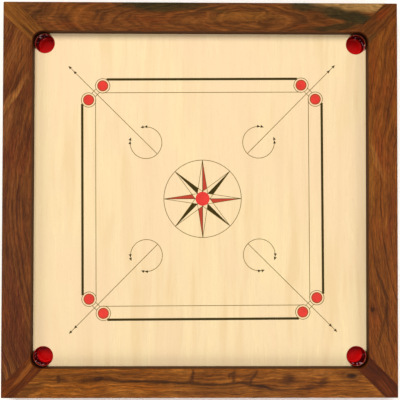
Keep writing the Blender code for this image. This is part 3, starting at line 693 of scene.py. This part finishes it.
def mouldedAbs(look, floorZ, lipZ, collarRadius):
    # ABS, injection moulded and polished: deep red with a hard clear shine, with painted shade making the inner wall
    # near black where light barely gets in
    material, tree, shader = newMaterial("abs_red_moulded_polished", 0.10, 1.53, specular=0.3)
    shader.inputs["Subsurface Weight"].default_value = look["glow"]
    shader.inputs["Subsurface Radius"].default_value = (1.0, 0.08, 0.05)
    shader.inputs["Subsurface Scale"].default_value = look["glowDepth"] * millimetre
    place = addNode(tree, "TexCoord").outputs["Object"]
    parts = addNode(tree, "SeparateXYZ", {}, {0: place})
    height = parts.outputs["Z"]
    rise = addNode(tree, "MapRange", {"From Min": floorZ, "From Max": lipZ, "To Min": 0.0, "To Max": 1.0},
                   {"Value": height}).outputs["Result"]
    # painted shade by height: bright red floor, near black up the inner wall, red again at the rim
    colour = addNode(tree, "ValToRGB", {"stops": [
        (0.06, look["floor"]), (0.20, look["wallPaintedShade"]), (0.96, look["wallPaintedShade"]), (1.0, look["rim"])]},
        {"Fac": rise}).outputs["Color"]
    # the lip, flange and outside keep the plain red, only the inner wall gets the painted shade
    away, outwards = fromPockets(tree)
    inside = addNode(tree, "Math", {"operation": "LESS_THAN", 1: collarRadius - look["wall"] / 2 * millimetre},
                     {0: away}).outputs[0]
    colour = addNode(tree, "Mix", {"data_type": "RGBA", 6: look["rim"]}, {0: inside, 7: colour}).outputs[2]
    # painted glints: pale pink-white spots on the inner wall on the corner side, a few millimetres each
    paintedGlintSide = addNode(tree, "MapRange", {"From Min": look["paintedGlintFrom"] * millimetre,
                                        "From Max": look["paintedGlintFull"] * millimetre,
                                        "To Min": 0.0, "To Max": 1.0}, {"Value": outwards}).outputs["Result"]
    paintedGlintSide = addNode(tree, "Math", {"operation": "MULTIPLY"}, {0: paintedGlintSide, 1: inside}).outputs[0]
    onWall = addNode(tree, "MapRange", {"From Min": 0.24, "From Max": 0.32, "To Min": 0.0, "To Max": 1.0},
                     {"Value": rise}).outputs["Result"]
    spots = stretchedNoise(tree, place, look["paintedGlintScale"], 1.0)
    paintedGlint = addNode(tree, "MapRange", {"From Min": 0.60, "From Max": 0.68, "To Min": 0.0, "To Max": 0.9},
                    {"Value": spots}).outputs["Result"]
    for limit in (paintedGlintSide, onWall):
        paintedGlint = addNode(tree, "Math", {"operation": "MULTIPLY"}, {0: paintedGlint, 1: limit}).outputs[0]
    # the painted glints are mixed into the wall colour
    colour = addNode(tree, "Mix", {"data_type": "RGBA", 7: look["paintedGlint"]}, {0: paintedGlint, 6: colour}).outputs[2]
    flow = addNode(tree, "TexNoise", {"Scale": 90.0, "Detail": 2.0}, {"Vector": place}).outputs["Fac"]
    tone = addNode(tree, "MapRange", {"From Min": 0.3, "From Max": 0.7, "To Min": 0.92, "To Max": 1.08},
                   {"Value": flow}).outputs["Result"]
    tint = addNode(tree, "VectorMath", {"operation": "SCALE"}, {0: colour, "Scale": tone}).outputs[0]
    linkFinish(tree, shader, tint, gloss=(flow, 0.10, 0.20), relief=(flow, 0.08, 0.2))
    return material


def cupMesh(name, look, low, high):
    # turned profile in mm: up the inside, over the rounded lip, down the outside and in to the gate mark
    centre = (low + high) / 2
    lip, base = high.z / millimetre, low.z / millimetre
    flangeRadius = (high.x - low.x) / 2 / millimetre
    flangeTop = surfaceLow.z / millimetre - look["flangeGap"]
    under = flangeTop - look["flange"]
    wall, draft, fillet, edge = look["wall"], look["draft"], look["floorFillet"], look["flangeEdge"]
    outer = flangeRadius - look["collarInset"]
    inner = outer - wall
    floor = base + look["floorThick"]
    quarter = [math.radians(90 * k / look["filletSteps"]) for k in range(look["filletSteps"] + 1)]
    half = [math.radians(180 * k / look["lipSteps"]) for k in range(look["lipSteps"] + 1)]
    profile = [(0.0, floor)]
    profile += [(inner - draft - fillet + fillet * math.sin(t), floor + fillet - fillet * math.cos(t))
                for t in quarter]
    profile += [(inner + wall / 2 - wall / 2 * math.cos(t), lip - wall / 2 + wall / 2 * math.sin(t))
                for t in half]
    profile += [(outer, flangeTop), (flangeRadius - edge, flangeTop), (flangeRadius, flangeTop - edge),
                (flangeRadius, under + edge), (flangeRadius - edge, under), (outer + edge, under),
                (outer - look["rootTaper"], under - edge - look["rootTaper"])]
    profile += [(outer - draft - fillet + fillet * math.cos(t), base + fillet - fillet * math.sin(t))
                for t in quarter]
    gateTop = base + look["gateDepth"]
    profile += [(look["gateRadius"] + look["gateSlope"], base), (look["gateRadius"], gateTop), (0.0, gateTop)]
    bm = bmesh.new()
    rings = []
    for radius, z in profile:
        count = 1 if radius == 0 else look["segments"]
        turns = [2 * math.pi * i / look["segments"] for i in range(count)]
        rings.append([bm.verts.new((centre.x + radius * millimetre * math.cos(t),
                                    centre.y + radius * millimetre * math.sin(t), z * millimetre)) for t in turns])
    for lower, upper in zip(rings, rings[1:]):
        for i in range(look["segments"]):
            k = (i + 1) % look["segments"]
            corner = [lower[i % len(lower)], lower[k % len(lower)], upper[k % len(upper)], upper[i % len(upper)]]
            bm.faces.new(list(dict.fromkeys(corner)))
    mesh = bmToMesh(bm, name)
    mesh.shade_smooth()
    mesh.set_sharp_from_angle(angle=math.radians(look["sharpFrom"]))
    return mesh


cupLow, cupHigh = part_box("pocket_cup_front_left")
collarRadius = (cupHigh.x - cupLow.x) / 2 - cupLook["collarInset"] * millimetre
plastic = mouldedAbs(cupLook, cupLow.z + cupLook["floorThick"] * millimetre, cupHigh.z, collarRadius)
for corner in corners:
    low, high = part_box("pocket_cup_" + corner)
    newPiece("moulded_cup_" + corner, cupMesh("moulded_cup_" + corner, cupLook, low, high), plastic,
             ["pocket_cup_" + corner])
print("pocket cups moulded")

# Underneath: pine cleats and battens
pineLook = {"early": "e0bd84", "late": "b9844a", "knot": "6f4320", "ringSpacing": 5.0}


def planedPine(name, look, middle, bearing, seed):
    # Pine, planed and left bare: pale yellow with darker late wood and a dull surface
    material, tree, shader = newMaterial(name, 0.62, 1.5)
    local = localPlace(tree, middle, bearing)
    place = driftedPlace(tree, local, (seed, seed * 0.7, 0.0), (0.03, 0.006, 0.006), (4.0, 20.0, 20.0))
    fromPith = addNode(tree, "VectorMath", {"operation": "SUBTRACT", 1: (0.05 * math.sin(seed), 0.03, 0.07)},
                       {0: place}).outputs[0]
    squashed = addNode(tree, "VectorMath", {"operation": "MULTIPLY", 1: (0.05, 1.0, 1.0)},
                       {0: fromPith}).outputs[0]
    growth = addNode(tree, "VectorMath", {"operation": "LENGTH"}, {0: squashed}).outputs["Value"]
    ring = addNode(tree, "Math", {"operation": "MULTIPLY", 1: 1000 / look["ringSpacing"]}, {0: growth}).outputs[0]
    saw = addNode(tree, "Math", {"operation": "FRACT"}, {0: ring}).outputs[0]
    colour = addNode(tree, "ValToRGB", {"stops": [
        (0.0, look["early"]), (0.55, look["early"]), (0.9, look["late"]), (1.0, look["early"])]},
        {"Fac": saw}).outputs["Color"]
    fibres = stretchedNoise(tree, place, (12.0, 700.0, 700.0), 3.0)
    tone = addNode(tree, "MapRange", {"From Min": 0.3, "From Max": 0.7, "To Min": 0.86, "To Max": 1.08},
                   {"Value": fibres}).outputs["Result"]
    # two knots in each piece, at places that differ from piece to piece
    for mark in ((150 * math.sin(seed * 3), 4, 9, 7, 0, look["knot"], 0.9),
                 (-190 * math.cos(seed * 2), -6, 6, 5, 0, look["knot"], 0.9)):
        colour = addMark(tree, place, colour, mark)
    colour = addNode(tree, "VectorMath", {"operation": "SCALE"}, {0: colour, "Scale": tone}).outputs[0]
    linkFinish(tree, shader, colour, relief=(fibres, 0.3, 0.2))
    return material


for number, side in enumerate(("front", "right", "back", "left")):
    for kind, seed in (("cleat_", 1.3), ("batten_", 4.1)):
        name = kind + side
        bearing = 0 if side in ("front", "back") else 90
        finishNode(name, planedPine("pine_planed_" + name, pineLook, middleOf(name), bearing, seed + number))


fixingLook = {"zincBlue": "b9bcc4", "zinc": "c8c6bf", "zincYellow": "cfc59c",
              "beech": "c9976a", "beechPale": "d3a77c", "beechFleck": "a8744a"}


def zincPlate(look):
    # Steel screws, zinc plated and passivated: bright grey with a faint yellow and blue bloom
    material, tree, shader = newMaterial("steel_zinc_plated", 0.32, metallic=1.0)
    place = addNode(tree, "TexCoord").outputs["Object"]
    bloom = addNode(tree, "TexNoise", {"Scale": 260.0, "Detail": 3.0}, {"Vector": place}).outputs["Fac"]
    colour = addNode(tree, "ValToRGB", {"stops": [
        (0.35, look["zincBlue"]), (0.5, look["zinc"]), (0.65, look["zincYellow"])]},
        {"Fac": bloom}).outputs["Color"]
    linkFinish(tree, shader, colour, gloss=(bloom, 0.24, 0.42))
    return material


def planedBeech(look):
    # Beech tongues, sawn and planed: pinkish tan with short dark flecks
    material, tree, shader = newMaterial("beech_planed", 0.6, 1.5)
    place = addNode(tree, "TexCoord").outputs["Object"]
    flecks = addNode(tree, "TexNoise", {"Scale": 700.0, "Detail": 2.0}, {"Vector": place}).outputs["Fac"]
    colour = addNode(tree, "ValToRGB", {"stops": [
        (0.4, look["beech"]), (0.6, look["beechPale"]), (0.7, look["beechFleck"])]},
        {"Fac": flecks}).outputs["Color"]
    linkFinish(tree, shader, colour)
    return material


zinc, beech = zincPlate(fixingLook), planedBeech(fixingLook)
for name in nodes:
    if "_screw_" in name:
        finishNode(name, zinc)
    elif name.startswith("tongue_"):
        finishNode(name, beech)
print("underside finished")

# Studio: pale floor, soft light and the camera straight above
studioLook = {"floor": "fffefc", "floorDull": "fbf9f6", "floorSize": 4.0, "world": "f3f1ee", "worldStrength": 0.18}
lightLooks = {
    "key": {"place": (-0.40, 1.95, 3.50), "size": 2.1, "power": 123.0, "colour": "fffcf7", "gloss": False},
    "fill_front": {"place": (0.4, -2.6, 1.9), "size": 1.6, "power": 34.0, "colour": "fffaf4", "gloss": True},
    "fill_left": {"place": (-2.6, -0.2, 1.8), "size": 1.4, "power": 26.0, "colour": "fffdfa", "gloss": True},
    "fill_right": {"place": (2.6, -0.2, 1.8), "size": 1.4, "power": 24.0, "colour": "fffaf4", "gloss": True},
}
cameraLook = {"place": (-0.0096, -0.0165, 1.2012), "turn": (0.0131, -0.0076, 0.0018), "lens": 46.84,
              "sensor": 36.0}

bm = bmesh.new()
bmesh.ops.create_grid(bm, x_segments=1, y_segments=1, size=studioLook["floorSize"] / 2)
floor = bpy.data.objects.new("studio_floor", bmToMesh(bm, "studio_floor"))
floor.location.z = cadBox[0].z
bpy.context.scene.collection.objects.link(floor)
material, tree, shader = newMaterial("floor_painted_matt", 0.7)
place = addNode(tree, "TexCoord").outputs["Object"]
grain = addNode(tree, "TexNoise", {"Scale": 40.0, "Detail": 4.0}, {"Vector": place}).outputs["Fac"]
colour = addNode(tree, "ValToRGB", {"stops": [(0.3, studioLook["floorDull"]), (0.7, studioLook["floor"])]},
                 {"Fac": grain}).outputs["Color"]
tree.links.new(colour, shader.inputs["Base Color"])
floor.data.materials.append(material)

world = bpy.data.worlds.new("studio")
world.use_nodes = True
world.node_tree.nodes["Background"].inputs["Color"].default_value = linearColour(studioLook["world"])
world.node_tree.nodes["Background"].inputs["Strength"].default_value = studioLook["worldStrength"]
bpy.context.scene.world = world
for name, look in lightLooks.items():
    lamp = bpy.data.lights.new(name, "AREA")
    lamp.shape = "SQUARE"
    lamp.size = look["size"]
    lamp.energy = look["power"]
    lamp.color = linearColour(look["colour"])[:3]
    holder = bpy.data.objects.new(name, lamp)
    holder.location = look["place"]
    holder.visible_glossy = look["gloss"]
    holder.rotation_euler = (-Vector(look["place"])).to_track_quat("-Z", "Y").to_euler()
    bpy.context.scene.collection.objects.link(holder)
lens = bpy.data.cameras.new("camera")
lens.lens = cameraLook["lens"]
lens.sensor_width = cameraLook["sensor"]
camera = bpy.data.objects.new("camera", lens)
camera.location = cameraLook["place"]
camera.rotation_euler = cameraLook["turn"]
bpy.context.scene.collection.objects.link(camera)
bpy.context.scene.camera = camera
bpy.context.scene.view_settings.view_transform = "Standard"
print("studio and camera ready")
